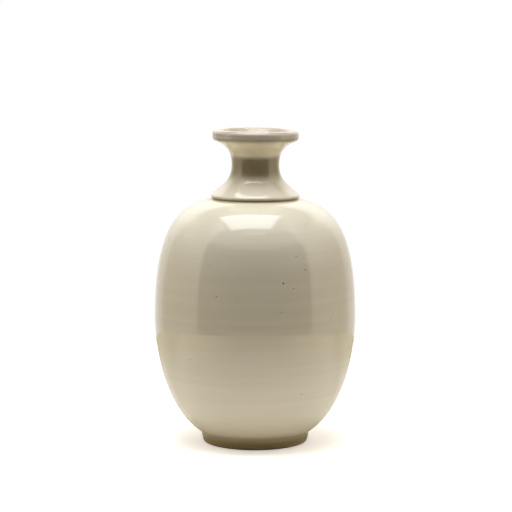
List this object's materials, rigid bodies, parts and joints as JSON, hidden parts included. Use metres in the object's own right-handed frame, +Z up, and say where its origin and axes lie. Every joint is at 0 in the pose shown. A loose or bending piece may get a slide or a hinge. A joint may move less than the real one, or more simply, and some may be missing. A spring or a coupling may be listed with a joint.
{
  "type": "flower vase",
  "caption": "Round-bodied stoneware bottle vase with a luted-on waisted neck, rolled rim and foot ring, in glossy cream glaze; holds water and cut stems.",
  "frame": {"origin": "centre of the foot, on the surface that the vase stands on", "axes": "+Z up along the axis of the vase, out of the mouth; X and Y are free, because the vase is round"},
  "size_m": [0.154, 0.154, 0.24],
  "materials": {
    "stoneware": "bare fired stoneware under the glaze, seen only in the recess of the foot",
    "neck_clay": "bare fired stoneware, all of it under glaze",
    "foot_clay": "toasted iron-bearing clay, bare and slightly rough where it meets the table",
    "joint_slip": "fired slip, fine grained, inside the joint",
    "cream_glaze": "glossy cream glaze with a few dark iron specks and soft throwing lines, thin and browner at the edges",
    "liner_glaze": "glossy cream liner glaze"
  },
  "bodies": {
    "root": {"body": "stoneware", "neck": "neck_clay", "foot_ring": "foot_clay", "neck_slip": "joint_slip", "foot_slip": "joint_slip", "outer_glaze": "cream_glaze", "liner_glaze": "liner_glaze"}
  },
  "joints": []
}
